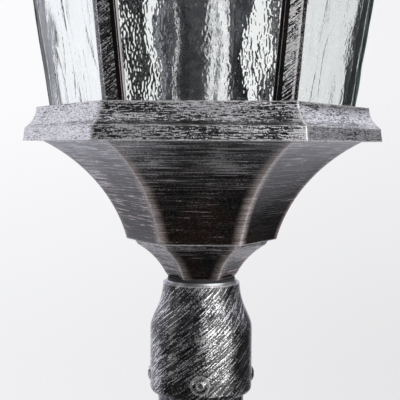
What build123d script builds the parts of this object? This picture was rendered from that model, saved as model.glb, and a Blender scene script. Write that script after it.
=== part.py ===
from build123d import *
from math import cos, radians, sin, sqrt, tan

# Post-top landscape light: foot, tube post, turned collar, hexagonal lantern.
# Z is up, the ground is Z = 0, a glass pane faces the front (-Y) and two bare
# glass corners lie on the X axis. All sizes are in millimetres.

# Foot
flange_diameter = 172
flange_thickness = 8
flange_rounding = 3
plinth_diameter = 106
plinth_height = 5
foot_flare_height = 56
foot_flare_radius = 78
foot_socket_depth = 44
foot_socket_wall = 6.5
foot_socket_chamfer = 2
foot_seat_thickness = 9
foot_seat_opening = 30
foot_chamber_diameter = 90
foot_chamber_top_diameter = 44
anchor_circle = 140
anchor_hole = 11
anchor_count = 4
foot_screw_count = 2

# Post
post_diameter = 42
post_wall = 2
post_length = 600

# Collar
collar_wall = 3.8
collar_height = 53.8
collar_straight = 31
collar_socket_depth = 34
collar_top_diameter = 37.4
collar_web = 6
collar_chamber_diameter = 27
collar_shoulder_pull = 0.7
collar_waist_pull = 0.76
collar_top_taper = 0.7
collar_rounding = 2.6

# Radial screws of collar and foot
screw_head_diameter = 7.8
screw_head_height = 2.6
screw_shank_diameter = 5
screw_socket = 3
screw_seat_depth = 1.2
screw_height = 8.2
screw_dome_share = 0.6
screw_socket_floor = 0.4
collar_screw_count = 4

# Seals between collar and neck
washer_thickness = 1.2
washer_setback = 1.5
gasket_thickness = 1.3
gasket_setback = 2.3

# Neck
neck_height = 18.5
neck_bottom_apothem = 14.7
neck_foot_chamfer = 0.6
neck_foot_rise = 2.2
neck_step = 3.1
neck_band_height = 2.7
neck_band_taper = 1.6
neck_flare_radius = 32
neck_floor = 5
neck_wall = 4
neck_spigot_height = 3.6
neck_spigot_wall = 3
neck_ridge = 1.5

# Bell skirt
skirt_height = 47.5
skirt_bottom_apothem = 32
skirt_flare_radius = 74
skirt_wall = 3.5
skirt_floor = 3.6
skirt_setback = 8.4
skirt_ridge = 2

# Tray with the base ring
tray_lip_height = 6
tray_floor = 4.5
tray_height = 16.4
band_height = 6.25
band_flare = 0.75
cove_run = 5
cove_radius = 13
tray_ledge = 5.5
tray_rim = 4
tray_lip_wall = 4
tray_rib_height = 3
tray_rib_wall = 3
tray_ridge = 0.8

# Panes
pane_apothem = 64.6
pane_thickness = 4
pane_lean = 7.8
pane_height = 165
pane_bite = 4

# Corner bars: a wide leg on the front or back pane, a narrow leg on the side pane
bar_wide_flange = 7.2
bar_wide_raised = 5.7
bar_narrow_flange = 5.2
bar_narrow_raised = 2.4
bar_low_thickness = 0.9
bar_high_thickness = 1.9
bar_core_width = 6
bar_core_depth = 7
bar_screw_diameter = 3
bar_screw_depth = 8
bar_screw_head_diameter = 5.6
bar_screw_head_height = 2.4

# Top ring
top_ring_height = 12
top_ring_ledge = 8.4
top_ring_rim = 6.5
top_ring_chamfer = 2.5
upstand_height = 5
upstand_wall = 3.2
upstand_setback = 4

# Bridge and stud
bridge_width = 18
bridge_thickness = 3
bridge_seat = 6.5
bridge_rounding = 2.2
bridge_screw_diameter = 4
bridge_screw_depth = 6
bridge_screw_head_diameter = 8
bridge_screw_head_height = 2.4
stud_diameter = 8
stud_grip = 20
stud_tail = 9
stud_nut_width = 13
stud_nut_height = 6

# Roof
roof_wall = 3
roof_drop = 5
roof_margin = 4.4
roof_band_height = 10
roof_cove_run = 6
roof_cove_height = 9
roof_cove_radius = 13
roof_rise = 58
roof_top_apothem = 24
roof_flare_radius = 92
roof_web = 5
roof_ridge = 2
cap_overhang = 3
cap_band_height = 4
cap_rise = 20
cap_top_apothem = 11
cap_flare_radius = 26
cap_ridge = 1

# Finial
finial_washer_thickness = 2
finial_base_diameter = 19
finial_base_height = 4
finial_waist_diameter = 12
finial_taper = 4
finial_ball_diameter = 27
finial_height = 46
finial_tip_diameter = 10

# Nipple
nipple_diameter = 12
nipple_bore = 8.6
nipple_tail = 9
nipple_entry = 9
nut_width = 17
nut_height = 6

# Lamp holder
holder_diameter = 45
holder_base_height = 20
holder_shell_height = 40
holder_wall = 3.2
holder_spigot = 5
holder_chamfer = 1
core_thickness = 9
core_hole = 5
sleeve_height = 22
sleeve_wall = 1.2
contact_width = 7
contact_thickness = 0.8
contact_height = 4
contact_foot = 1.4
contact_tongue = 4.2

# Bulb
bulb_diameter = 60
bulb_height = 80
cap_diameter = 26
cap_height = 22
cap_cone_height = 4
tip_diameter = 10
tip_height = 3
tip_chamfer = 1
bulb_neck_pull = 0.5
bulb_shoulder_pull = 0.6

# Wiring
lead_diameter = 6.6
block_length = 22
block_width = 17
block_height = 15
block_drop = 12
block_rounding = 1.5
clamp_pitch = 6.5
clamp_diameter = 3.4
clamp_height = 1.4

# Fits
post_clearance = 0.15
screw_clearance = 0.2
hole_clearance = 0.3
shank_clearance = 0.1
pane_clearance = 0.2
seat_clearance = 0.3
cap_clearance = 0.15
mitre_gap = 0.3
overcut = 1
same_size = 0.01

# Levels, from the ground up
plinth_top = flange_thickness + plinth_height
flare_top = plinth_top + foot_flare_height
foot_height = flare_top + foot_socket_depth
post_bottom = flare_top
post_top = post_bottom + post_length
chamber_top = flare_top - foot_seat_thickness
collar_bottom = post_top - collar_socket_depth
collar_top = collar_bottom + collar_height
washer_top = collar_top + washer_thickness
neck_bottom = washer_top + gasket_thickness
neck_top = neck_bottom + neck_height
skirt_top = neck_top + skirt_height
ring_bottom = skirt_top
tray_seat = ring_bottom + tray_lip_height
tray_floor_top = tray_seat + tray_floor
tray_top = ring_bottom + tray_height
top_ring_bottom = tray_top + pane_height
top_ring_top = top_ring_bottom + top_ring_height
roof_bottom = top_ring_top - roof_drop
roof_band_top = roof_bottom + roof_band_height
roof_cove_top = roof_band_top + roof_cove_height
roof_top = roof_cove_top + roof_rise
cap_top = roof_top + cap_band_height + cap_rise
finial_bottom = cap_top + finial_washer_thickness
bridge_top = top_ring_top + bridge_thickness
upper_nut_top = tray_floor_top + nut_height
holder_shoulder = upper_nut_top + holder_base_height
holder_top = holder_shoulder + holder_shell_height
core_bottom = holder_shoulder + holder_spigot
core_top = core_bottom + core_thickness
lead_bottom = chamber_top - block_drop
foot_screw_level = foot_height - screw_height
collar_screw_level = collar_bottom + screw_height

# Radii and distances from the axis
post_radius = post_diameter / 2
post_bore = post_radius - post_wall
socket_bore = post_radius + post_clearance
foot_socket_radius = socket_bore + foot_socket_wall
collar_radius = socket_bore + collar_wall
collar_top_radius = collar_top_diameter / 2
nipple_radius = nipple_diameter / 2
nipple_hole = nipple_radius + hole_clearance
stud_radius = stud_diameter / 2
stud_hole = stud_radius + hole_clearance
corner = 1 / cos(radians(30))
lean = tan(radians(pane_lean))
ring_top_apothem = pane_apothem + tray_ledge
band_top_apothem = ring_top_apothem + cove_run
ring_apothem = band_top_apothem + band_flare
skirt_top_apothem = ring_apothem - skirt_setback
neck_top_apothem = skirt_bottom_apothem - neck_step
neck_waist_apothem = neck_top_apothem - neck_band_taper
spigot_apothem = neck_top_apothem - neck_spigot_wall
rim_apothem = pane_apothem - pane_thickness - pane_bite * lean - tray_rim
pane_top_apothem = pane_apothem + lean * pane_height
top_ring_apothem = pane_top_apothem + top_ring_ledge
top_ring_opening = pane_top_apothem - pane_thickness - top_ring_rim
upstand_apothem = top_ring_apothem - upstand_setback
roof_apothem = top_ring_apothem + roof_margin
roof_cove_apothem = roof_apothem - roof_cove_run
cap_apothem = roof_top_apothem + cap_overhang
holder_radius = holder_diameter / 2
sleeve_bore = cap_diameter / 2 + cap_clearance
reach = 2 * roof_apothem
bar_angles = [60, 120, 240, 300]
bar_screw_radius = pane_apothem * corner - bar_core_depth / 2
bar_screw_top_radius = pane_top_apothem * corner - bar_core_depth / 2


def flare(start, end, radius, inset=0):
    """Three points of an arc that sags to the axis; inset moves it on into the wall."""
    first = Vector(*start)
    last = Vector(*end)
    middle = (first + last) / 2
    chord = last - first
    side = Vector(chord.Y, -chord.X).normalized()
    centre = middle + side * sqrt(radius**2 - (chord.length / 2) ** 2)
    return [centre + (point - centre).normalized() * (radius + inset) for point in (first, middle, last)]


def hexagonal(half_outline, ridge_radius=0):
    """Solid whose level cuts are hexagons, from one half outline beside the axis; ridges may be rounded."""
    with BuildSketch(Plane.YZ) as section:
        with BuildLine():
            half_outline()
        make_face()
        mirror(about=Plane.YZ)
    with BuildPart() as solid:
        extrude(section.sketch, reach, both=True)
        for turn in (60, 120):
            extrude(section.sketch.rotate(Axis.Z, turn), reach, both=True, mode=Mode.INTERSECT)
        if ridge_radius:
            fillet(solid.edges().filter_by(lambda edge: edge.bounding_box().size.Z > same_size), ridge_radius)
    return solid.part


def prism(apothem, bottom, top, taper=0):
    """Upright hexagonal prism, or a pyramid stump when it tapers."""
    with BuildPart() as solid:
        with BuildSketch(Plane.XY.offset(bottom)):
            RegularPolygon(apothem, 6, major_radius=False)
        extrude(amount=top - bottom, taper=taper)
    return solid.part


def pane_shell(bottom, top, gap=0):
    """The six leaning panes as one closed shell between two levels, grown by a gap."""
    outer = pane_apothem + (bottom - tray_top) * lean + gap
    inner = outer - pane_thickness - 2 * gap
    return prism(outer, bottom, top, -pane_lean) - prism(inner, bottom, top, -pane_lean)


def disc(radius, bottom, top, hole):
    """Flat round ring on the axis."""
    with BuildPart() as solid:
        with BuildSketch(Plane.XY.offset(bottom)):
            Circle(radius)
            Circle(hole, mode=Mode.SUBTRACT)
        extrude(amount=top - bottom)
    return solid.part


def nut(width, bottom, top, hole):
    """Hexagon nut on the axis."""
    with BuildPart() as solid:
        with BuildSketch(Plane.XY.offset(bottom)):
            RegularPolygon(width / 2, 6, major_radius=False)
            Circle(hole, mode=Mode.SUBTRACT)
        extrude(amount=top - bottom)
    return solid.part


def rims(turned, radius):
    """Round edges of a turned part that have that radius, lowest first."""
    circles = turned.edges().filter_by(GeomType.CIRCLE)
    return circles.filter_by(lambda edge: abs(edge.radius - radius) < same_size).sort_by(Axis.Z)


def hex_headed_screw(shank, length, head, head_height):
    """Screw along Z with its head seat at Z = 0, shank downwards, hexagon head upwards."""
    with BuildPart() as solid:
        with BuildSketch():
            RegularPolygon(head / 2, 6)
        extrude(amount=head_height)
        with BuildSketch():
            Circle(shank / 2)
        extrude(amount=-length)
    return solid.part


def round_headed_screw(shank, length, head, head_height, socket):
    """Screw along Z with its head seat at Z = 0, shank downwards, domed head upwards."""
    rise = screw_dome_share * head_height
    dome = ((head / 2) ** 2 + rise**2) / (2 * rise)
    with BuildPart() as solid:
        with BuildSketch(Plane.XZ):
            Rectangle(head / 2, head_height, align=Align.MIN)
            with Locations((0, head_height - dome)):
                Circle(dome, mode=Mode.INTERSECT)
            with Locations((0, -length)):
                Rectangle(shank / 2, length, align=Align.MIN)
        revolve(axis=Axis.Z)
        with BuildSketch(Plane.XY.offset(screw_socket_floor * head_height)):
            RegularPolygon(socket / 2, 6, major_radius=False)
        extrude(amount=head_height, mode=Mode.SUBTRACT)
    return solid.part


def radial_plane(angle, radius, level):
    """Plane that faces away from the axis at that angle."""
    outwards = Vector(1, 0, 0).rotate(Axis.Z, angle)
    return Plane(origin=outwards * radius + Vector(0, 0, level), x_dir=(0, 0, 1), z_dir=outwards)


def turns(count):
    """Equal steps round the axis, in degrees, from the X axis on."""
    return [index * 360 / count for index in range(count)]


def drill_radial_holes(outer_radius, level, count):
    """Shank holes and flat head seats of the radial screws, in the open part."""
    for angle in turns(count):
        with BuildSketch(radial_plane(angle, 0, level)) as shank_hole:
            Circle(screw_shank_diameter / 2 + shank_clearance)
        extrude(shank_hole.sketch, outer_radius + overcut, mode=Mode.SUBTRACT)
        with BuildSketch(radial_plane(angle, outer_radius - screw_seat_depth, level)) as head_seat:
            Circle(screw_head_diameter / 2 + seat_clearance)
        extrude(head_seat.sketch, screw_seat_depth + overcut, mode=Mode.SUBTRACT)


def place_radial_screws(outer_radius, level, count):
    """The radial screws with their tips just clear of the post, in the open part."""
    seat = outer_radius - screw_seat_depth
    length = seat - post_radius - screw_clearance
    screw = round_headed_screw(
        screw_shank_diameter, length, screw_head_diameter, screw_head_height, screw_socket
    )
    for angle in turns(count):
        with Locations(radial_plane(angle, seat, level).location):
            add(screw)


# Foot casting: flange, plinth, flared stem, post socket and wiring chamber
with BuildPart() as foot:
    with BuildSketch(Plane.XZ):
        with BuildLine():
            Polyline(
                (foot_chamber_diameter / 2, 0),
                (flange_diameter / 2, 0),
                (flange_diameter / 2, flange_thickness),
                (plinth_diameter / 2, flange_thickness),
                (plinth_diameter / 2, plinth_top),
            )
            ThreePointArc(
                *flare((plinth_diameter / 2, plinth_top), (foot_socket_radius, flare_top), foot_flare_radius)
            )
            Polyline(
                (foot_socket_radius, flare_top),
                (foot_socket_radius, foot_height),
                (socket_bore, foot_height),
                (socket_bore, flare_top),
                (foot_seat_opening / 2, flare_top),
                (foot_seat_opening / 2, chamber_top),
                (foot_chamber_top_diameter / 2, chamber_top),
                (foot_chamber_diameter / 2, 0),
            )
        make_face()
    revolve(axis=Axis.Z)
    fillet(rims(foot, flange_diameter / 2)[-1], flange_rounding)
    chamfer(rims(foot, foot_socket_radius)[-1], foot_socket_chamfer)
    with PolarLocations(anchor_circle / 2, anchor_count, start_angle=180 / anchor_count):
        Hole(anchor_hole / 2)
    drill_radial_holes(foot_socket_radius, foot_screw_level, foot_screw_count)
foot.part.label = "foot"
export_step(foot.part, "parts/foot.step")

# Set screws that hold the post in the foot
with BuildPart() as foot_screws:
    place_radial_screws(foot_socket_radius, foot_screw_level, foot_screw_count)
foot_screws.part.label = "foot_screws"
export_step(foot_screws.part, "parts/foot_screws.step")

# Tube post, standing on the seat inside the foot
with BuildPart() as post_tube:
    add(disc(post_radius, post_bottom, post_top, post_bore))
post_tube.part.label = "post_tube"
export_step(post_tube.part, "parts/post_tube.step")

# Turned collar that drops over the post
with BuildPart() as collar:
    with BuildSketch(Plane.XZ):
        with BuildLine():
            Polyline(
                (socket_bore, collar_bottom),
                (collar_radius, collar_bottom),
                (collar_radius, collar_bottom + collar_straight),
            )
            Bezier(
                (collar_radius, collar_bottom + collar_straight),
                (collar_radius, collar_bottom + collar_shoulder_pull * collar_height),
                (collar_top_radius + collar_top_taper, collar_bottom + collar_waist_pull * collar_height),
                (collar_top_radius, collar_top),
            )
            Polyline(
                (collar_top_radius, collar_top),
                (nipple_hole, collar_top),
                (nipple_hole, collar_top - collar_web),
                (collar_chamber_diameter / 2, collar_top - collar_web),
                (collar_chamber_diameter / 2, post_top),
                (socket_bore, post_top),
                (socket_bore, collar_bottom),
            )
        make_face()
    revolve(axis=Axis.Z)
    fillet(rims(collar, collar_radius)[0], collar_rounding)
    drill_radial_holes(collar_radius, collar_screw_level, collar_screw_count)
collar.part.label = "collar"
export_step(collar.part, "parts/collar.step")

# Screws that clamp the collar on the post
with BuildPart() as collar_screws:
    place_radial_screws(collar_radius, collar_screw_level, collar_screw_count)
collar_screws.part.label = "collar_screws"
export_step(collar_screws.part, "parts/collar_screws.step")

# Metal washer on the collar
with BuildPart() as neck_washer:
    add(disc(collar_top_radius - washer_setback, collar_top, washer_top, nipple_hole))
neck_washer.part.label = "neck_washer"
export_step(neck_washer.part, "parts/neck_washer.step")

# Rubber gasket under the neck
with BuildPart() as neck_gasket:
    add(disc(collar_top_radius - gasket_setback, washer_top, neck_bottom, nipple_hole))
neck_gasket.part.label = "neck_gasket"
export_step(neck_gasket.part, "parts/neck_gasket.step")


def neck_outline():
    """Half outline of the hexagonal neck, with the spigot that centres the skirt."""
    waist = (neck_waist_apothem, neck_top - neck_band_height)
    Polyline((0, neck_bottom), (neck_bottom_apothem, neck_bottom))
    ThreePointArc(*flare((neck_bottom_apothem, neck_bottom), waist, neck_flare_radius))
    Polyline(
        waist,
        (neck_top_apothem, neck_top),
        (spigot_apothem, neck_top),
        (spigot_apothem, neck_top + neck_spigot_height),
        (0, neck_top + neck_spigot_height),
        (0, neck_bottom),
    )


# Neck: hexagonal cup between collar and skirt
with BuildPart() as neck:
    add(hexagonal(neck_outline, neck_ridge))
    neck_foot = neck.faces().sort_by(Axis.Z)[0]
    chamfer(neck_foot.edges(), neck_foot_chamfer, neck_foot_rise, reference=neck_foot)
    with BuildSketch(Plane.XZ):
        with BuildLine():
            Polyline(
                (0, neck_bottom),
                (nipple_hole, neck_bottom),
                (nipple_hole, neck_bottom + neck_floor),
                (neck_bottom_apothem - neck_wall, neck_bottom + neck_floor),
                (spigot_apothem - neck_spigot_wall, neck_top),
                (spigot_apothem - neck_spigot_wall, neck_top + neck_spigot_height),
                (0, neck_top + neck_spigot_height),
                close=True,
            )
        make_face()
    revolve(axis=Axis.Z, mode=Mode.SUBTRACT)
neck.part.label = "neck"
export_step(neck.part, "parts/neck.step")

skirt_arc_ends = ((skirt_bottom_apothem, neck_top), (skirt_top_apothem, skirt_top))


def skirt_outline():
    """Half outline of the bell skirt; its straight top stands inside the tray lip."""
    Polyline((0, neck_top), (skirt_bottom_apothem, neck_top))
    ThreePointArc(*flare(*skirt_arc_ends, skirt_flare_radius))
    Polyline(
        (skirt_top_apothem, skirt_top),
        (skirt_top_apothem, tray_seat),
        (0, tray_seat),
        (0, neck_top),
    )


def skirt_hollow():
    """Half outline one wall thickness inside the bell curve."""
    low, middle, high = flare(*skirt_arc_ends, skirt_flare_radius, skirt_wall)
    Polyline((0, low.Y), (low.X, low.Y))
    ThreePointArc(low, middle, high)
    Polyline((high.X, high.Y), (high.X, tray_seat), (0, tray_seat), (0, low.Y))


# Bell skirt: hollow hexagonal casting that carries the tray
skirt_core = prism(skirt_top_apothem - skirt_wall, neck_top + skirt_floor, tray_seat)
with BuildPart() as skirt:
    add(hexagonal(skirt_outline, skirt_ridge))
    add(hexagonal(skirt_hollow) & skirt_core, mode=Mode.SUBTRACT)
    add(prism(spigot_apothem + seat_clearance, neck_top, skirt_top), mode=Mode.SUBTRACT)
skirt.part.label = "skirt"
export_step(skirt.part, "parts/skirt.step")


def tray_outline():
    """Half outline of the tray: drip lip, band, cove and top ledge."""
    band_top = (band_top_apothem, ring_bottom + band_height)
    Polyline((0, ring_bottom), (ring_apothem, ring_bottom), band_top)
    ThreePointArc(*flare(band_top, (ring_top_apothem, tray_top), cove_radius))
    Polyline((ring_top_apothem, tray_top), (0, tray_top), (0, ring_bottom))


# Tray: floor of the lantern with the base ring round it
rib_apothem = skirt_top_apothem - skirt_wall - seat_clearance
with BuildPart() as tray:
    add(hexagonal(tray_outline, tray_ridge))
    add(prism(ring_apothem - tray_lip_wall, ring_bottom, tray_seat), mode=Mode.SUBTRACT)
    add(prism(rim_apothem, tray_floor_top, tray_top), mode=Mode.SUBTRACT)
    add(pane_shell(tray_top - pane_bite, tray_top, pane_clearance), mode=Mode.SUBTRACT)
    add(prism(rib_apothem, tray_seat - tray_rib_height, tray_seat))
    add(prism(rib_apothem - tray_rib_wall, tray_seat - tray_rib_height, tray_seat), mode=Mode.SUBTRACT)
    with Locations((0, 0, tray_top)):
        Hole(nipple_hole)
    for angle in bar_angles:
        with Locations(Vector(bar_screw_radius, 0, tray_top).rotate(Axis.Z, angle)):
            Hole(bar_screw_diameter / 2 + shank_clearance)
    for angle in bar_angles:
        with BuildSketch(Plane.XY.offset(tray_seat - tray_rib_height)):
            with Locations(Vector(bar_screw_radius, 0).rotate(Axis.Z, angle)):
                Circle(bar_screw_head_diameter / 2 + seat_clearance)
        extrude(amount=tray_rib_height + bar_screw_head_height, mode=Mode.SUBTRACT)
tray.part.label = "tray"
export_step(tray.part, "parts/tray.step")

# Hollow threaded nipple that ties the stack together
nipple_bottom = collar_top - collar_web - nipple_tail
nipple_top = upper_nut_top + nipple_entry
with BuildPart() as nipple:
    add(disc(nipple_radius, nipple_bottom, nipple_top, nipple_bore / 2))
nipple.part.label = "nipple"
export_step(nipple.part, "parts/nipple.step")

# Nuts of the nipple: one under the collar web, one on the tray floor
nut_hole = nipple_radius + shank_clearance
with BuildPart() as nipple_nuts:
    add(nut(nut_width, collar_top - collar_web - nut_height, collar_top - collar_web, nut_hole))
    add(nut(nut_width, tray_floor_top, upper_nut_top, nut_hole))
nipple_nuts.part.label = "nipple_nuts"
export_step(nipple_nuts.part, "parts/nipple_nuts.step")

# Six glass panes; an edge is cut back for a bar core, or mitred at a bare corner
pane_names = ["back_right", "back", "back_left", "front_left", "front", "front_right"]
bar_cut = bar_core_width / 2 + pane_clearance
pane_bottom = tray_top - pane_bite
pane_end = top_ring_bottom + pane_bite - pane_clearance
pane_ring = pane_shell(pane_bottom, pane_end)
for index, pane_name in enumerate(pane_names):
    first_angle = 60 * index
    last_angle = first_angle + 60
    first_gap = bar_cut if first_angle in bar_angles else mitre_gap / 2
    last_gap = bar_cut if last_angle in bar_angles else mitre_gap / 2
    first_normal = Vector(0, 1, 0).rotate(Axis.Z, first_angle)
    last_normal = Vector(0, -1, 0).rotate(Axis.Z, last_angle)
    with BuildPart() as pane:
        add(pane_ring)
        split(bisect_by=Plane(origin=first_normal * first_gap, z_dir=first_normal), keep=Keep.TOP)
        split(bisect_by=Plane(origin=last_normal * last_gap, z_dir=last_normal), keep=Keep.TOP)
    pane.part.label = f"pane_{pane_name}"
    export_step(pane.part, f"parts/pane_{pane_name}.step")

# Corner bars: stepped angle section outside the glass, core between the pane edges
glass_corner = Vector(pane_apothem * corner, 0)
bar_low_face = pane_clearance + bar_low_thickness
bar_high_face = pane_clearance + bar_high_thickness


def bar_leg(flange, raised, side):
    """Stepped leg of the bar section on one side of its corner, from the glass outwards."""
    along = Vector(-sin(radians(30)), side * cos(radians(30)))
    away = Vector(cos(radians(30)), side * sin(radians(30)))
    return [
        glass_corner + along * flange + away * pane_clearance,
        glass_corner + along * flange + away * bar_low_face,
        glass_corner + along * raised + away * bar_low_face,
        glass_corner + along * raised + away * bar_high_face,
    ]


bar_direction = Vector(lean * corner, 0, 1)
bar_names = {60: "back_right", 120: "back_left", 240: "front_left", 300: "front_right"}
for angle, bar_name in bar_names.items():
    wide_side = 1 if angle % 180 == 60 else -1
    wide_leg = bar_leg(bar_wide_flange, bar_wide_raised, wide_side)
    narrow_leg = bar_leg(bar_narrow_flange, bar_narrow_raised, -wide_side)
    bar_inside = glass_corner + Vector(pane_clearance * corner, 0)
    bar_ridge = glass_corner + Vector(bar_high_face * corner, 0)
    bar_outline = [bar_inside, *wide_leg, bar_ridge, *reversed(narrow_leg)]
    with BuildPart() as bar:
        with BuildSketch(Plane.XY.offset(tray_top)) as bar_section:
            with BuildLine():
                Polyline(*bar_outline, close=True)
            make_face()
            with Locations((glass_corner.X - bar_core_depth, 0)):
                Rectangle(
                    bar_core_depth + bar_low_face / 2, bar_core_width, align=(Align.MIN, Align.CENTER)
                )
        extrude(amount=pane_height * bar_direction.length, dir=bar_direction.normalized())
        with Locations((bar_screw_radius, 0, tray_top)):
            Hole(bar_screw_diameter / 2 + shank_clearance, bar_screw_depth + seat_clearance)
        with Locations((bar_screw_top_radius, 0, top_ring_bottom)):
            Hole(bar_screw_diameter / 2 + shank_clearance, bar_screw_depth + seat_clearance)
    turned_bar = bar.part.rotate(Axis.Z, angle)
    turned_bar.label = f"bar_{bar_name}"
    export_step(turned_bar, f"parts/bar_{bar_name}.step")

# Screws that hold the bars to tray and top ring
lower_seat = tray_seat + bar_screw_head_height
with BuildPart() as bar_screws:
    lower_screw = hex_headed_screw(
        bar_screw_diameter,
        tray_top + bar_screw_depth - lower_seat,
        bar_screw_head_diameter,
        bar_screw_head_height,
    )
    upper_screw = hex_headed_screw(
        bar_screw_diameter,
        top_ring_height + bar_screw_depth,
        bar_screw_head_diameter,
        bar_screw_head_height,
    )
    for angle in bar_angles:
        lower_place = Vector(bar_screw_radius, 0, lower_seat).rotate(Axis.Z, angle)
        upper_place = Vector(bar_screw_top_radius, 0, top_ring_top).rotate(Axis.Z, angle)
        with Locations(Plane(origin=lower_place, z_dir=(0, 0, -1)).location):
            add(lower_screw)
        with Locations(upper_place):
            add(upper_screw)
bar_screws.part.label = "bar_screws"
export_step(bar_screws.part, "parts/bar_screws.step")

# Top ring: frame over the panes, with an upstand that centres the roof
bridge_half = top_ring_opening + bridge_seat + bridge_screw_head_diameter / 2
bridge_screw_reach = top_ring_opening + bridge_seat
with BuildPart() as top_ring:
    add(prism(top_ring_apothem, top_ring_bottom, top_ring_top))
    chamfer(top_ring.faces().sort_by(Axis.Z)[0].edges(), top_ring_chamfer)
    add(prism(upstand_apothem, top_ring_top, top_ring_top + upstand_height))
    add(
        prism(upstand_apothem - upstand_wall, top_ring_top, top_ring_top + upstand_height),
        mode=Mode.SUBTRACT,
    )
    add(prism(top_ring_opening, top_ring_bottom, top_ring_top), mode=Mode.SUBTRACT)
    add(pane_shell(top_ring_bottom, top_ring_bottom + pane_bite, pane_clearance), mode=Mode.SUBTRACT)
    for angle in bar_angles:
        with Locations(Vector(bar_screw_top_radius, 0, top_ring_top).rotate(Axis.Z, angle)):
            Hole(bar_screw_diameter / 2 + shank_clearance)
    for side in (1, -1):
        with Locations((0, side * bridge_screw_reach, top_ring_top)):
            Hole(bridge_screw_diameter / 2 + shank_clearance, bridge_screw_depth + seat_clearance)
top_ring.part.label = "top_ring"
export_step(top_ring.part, "parts/top_ring.step")

# Bridge strap across the top ring, from front to back
with BuildPart() as bridge:
    with BuildSketch(Plane.XY.offset(top_ring_top)):
        RectangleRounded(bridge_width, 2 * bridge_half, bridge_rounding)
        Circle(stud_radius + shank_clearance, mode=Mode.SUBTRACT)
        with Locations((0, bridge_screw_reach), (0, -bridge_screw_reach)):
            Circle(bridge_screw_diameter / 2 + shank_clearance, mode=Mode.SUBTRACT)
    extrude(amount=bridge_thickness)
bridge.part.label = "bridge"
export_step(bridge.part, "parts/bridge.step")

# Screws of the bridge
with BuildPart() as bridge_screws:
    bridge_screw = hex_headed_screw(
        bridge_screw_diameter,
        bridge_thickness + bridge_screw_depth,
        bridge_screw_head_diameter,
        bridge_screw_head_height,
    )
    with Locations((0, bridge_screw_reach, bridge_top), (0, -bridge_screw_reach, bridge_top)):
        add(bridge_screw)
bridge_screws.part.label = "bridge_screws"
export_step(bridge_screws.part, "parts/bridge_screws.step")

# Threaded stud through bridge, roof and cap into the finial
stud_bottom = top_ring_top - stud_tail
stud_top = finial_bottom + stud_grip
with BuildPart() as roof_stud:
    with BuildSketch(Plane.XY.offset(stud_bottom)):
        Circle(stud_radius)
    extrude(amount=stud_top - stud_bottom)
roof_stud.part.label = "roof_stud"
export_step(roof_stud.part, "parts/roof_stud.step")

# Nuts that clamp the stud in the bridge
stud_nut_hole = stud_radius + shank_clearance
with BuildPart() as stud_nuts:
    add(nut(stud_nut_width, top_ring_top - stud_nut_height, top_ring_top, stud_nut_hole))
    add(nut(stud_nut_width, bridge_top, bridge_top + stud_nut_height, stud_nut_hole))
stud_nuts.part.label = "stud_nuts"
export_step(stud_nuts.part, "parts/stud_nuts.step")

roof_arc_ends = ((roof_cove_apothem, roof_cove_top), (roof_top_apothem, roof_top))


def roof_outline():
    """Half outline of the roof: eave band, cove and hollow slope."""
    band_top = (roof_apothem - band_flare, roof_band_top)
    Polyline((0, roof_bottom), (roof_apothem, roof_bottom), band_top)
    ThreePointArc(*flare(band_top, (roof_cove_apothem, roof_cove_top), roof_cove_radius))
    ThreePointArc(*flare(*roof_arc_ends, roof_flare_radius))
    Polyline((roof_top_apothem, roof_top), (0, roof_top), (0, roof_bottom))


def roof_hollow():
    """Half outline of the space under the roof, with the seat on the top ring."""
    low, middle, high = flare(*roof_arc_ends, roof_flare_radius, roof_wall)
    seat = upstand_apothem + seat_clearance
    Polyline((0, top_ring_top), (seat, top_ring_top), (seat, top_ring_top + upstand_height + seat_clearance))
    Line((seat, top_ring_top + upstand_height + seat_clearance), (low.X, low.Y))
    ThreePointArc(low, middle, high)
    Polyline((high.X, high.Y), (high.X, roof_top), (0, roof_top), (0, top_ring_top))


# Roof casting, resting on the top ring
roof_core = prism(roof_apothem, top_ring_top, roof_top - roof_web)
with BuildPart() as roof:
    add(hexagonal(roof_outline, roof_ridge))
    add(prism(top_ring_apothem + 2 * seat_clearance, roof_bottom, top_ring_top), mode=Mode.SUBTRACT)
    add(hexagonal(roof_hollow) & roof_core, mode=Mode.SUBTRACT)
    with Locations((0, 0, roof_top)):
        Hole(stud_hole)
roof.part.label = "roof"
export_step(roof.part, "parts/roof.step")


def cap_outline():
    """Half outline of the small upper roof."""
    band_top = (cap_apothem, roof_top + cap_band_height)
    Polyline((0, roof_top), (cap_apothem, roof_top), band_top)
    ThreePointArc(*flare(band_top, (cap_top_apothem, cap_top), cap_flare_radius))
    Polyline((cap_top_apothem, cap_top), (0, cap_top), (0, roof_top))


# Cap: small upper roof that covers the joint
with BuildPart() as roof_cap:
    add(hexagonal(cap_outline, cap_ridge))
    with Locations((0, 0, cap_top)):
        Hole(stud_hole)
roof_cap.part.label = "roof_cap"
export_step(roof_cap.part, "parts/roof_cap.step")

# Seal washer under the finial
with BuildPart() as finial_washer:
    add(disc(finial_base_diameter / 2, cap_top, finial_bottom, stud_hole))
finial_washer.part.label = "finial_washer"
export_step(finial_washer.part, "parts/finial_washer.step")

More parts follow.
